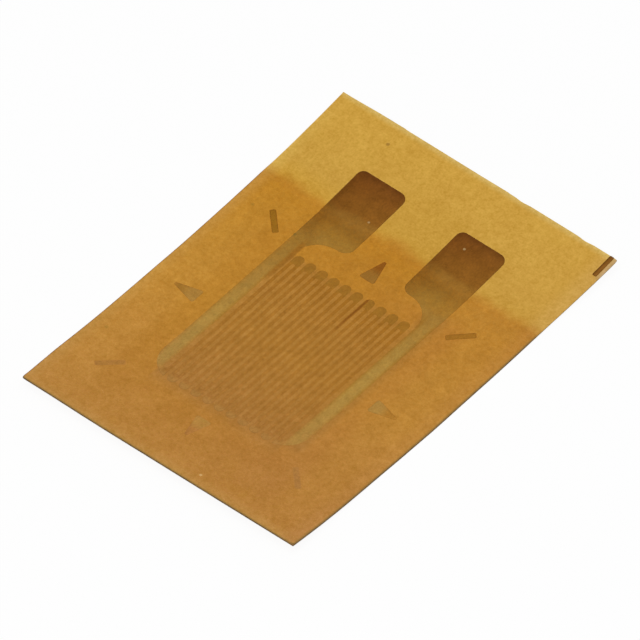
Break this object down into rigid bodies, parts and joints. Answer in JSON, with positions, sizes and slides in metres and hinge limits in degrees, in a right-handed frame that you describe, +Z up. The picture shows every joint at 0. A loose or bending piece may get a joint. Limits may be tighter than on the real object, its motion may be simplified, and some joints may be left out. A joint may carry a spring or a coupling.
{
  "type": "foil strain gauge",
  "caption": "Flat foil strain gauge: etched metal grid with side leads and solder tabs between amber polyimide films, with etched position marks, its ends slightly curled up.",
  "frame": {"origin": "on the bonding face of the backing film, under the centre of the measuring grid", "axes": "+X across the grid lines, +Y along the grid lines towards the solder tabs, +Z up from the bonding face"},
  "size_m": [0.0094, 0.0132, 0.0004],
  "materials": {
    "backing_film": "amber polyimide film, satin, slightly mottled",
    "cover_film": "orange see-through polyimide film, satin",
    "foil": "thin rolled and etched copper-nickel foil, tarnished brown where bare"
  },
  "bodies": {
    "root": {"backing_film": "backing_film", "foil_grid": "foil", "cover_film": "cover_film", "tab_end_mark": "foil", "far_end_mark": "foil", "left_side_mark": "foil", "right_side_mark": "foil", "tab_left_diagonal": "foil", "tab_right_diagonal": "foil", "far_left_diagonal": "foil", "far_right_diagonal": "foil", "trim_mark": "foil"}
  },
  "joints": []
}
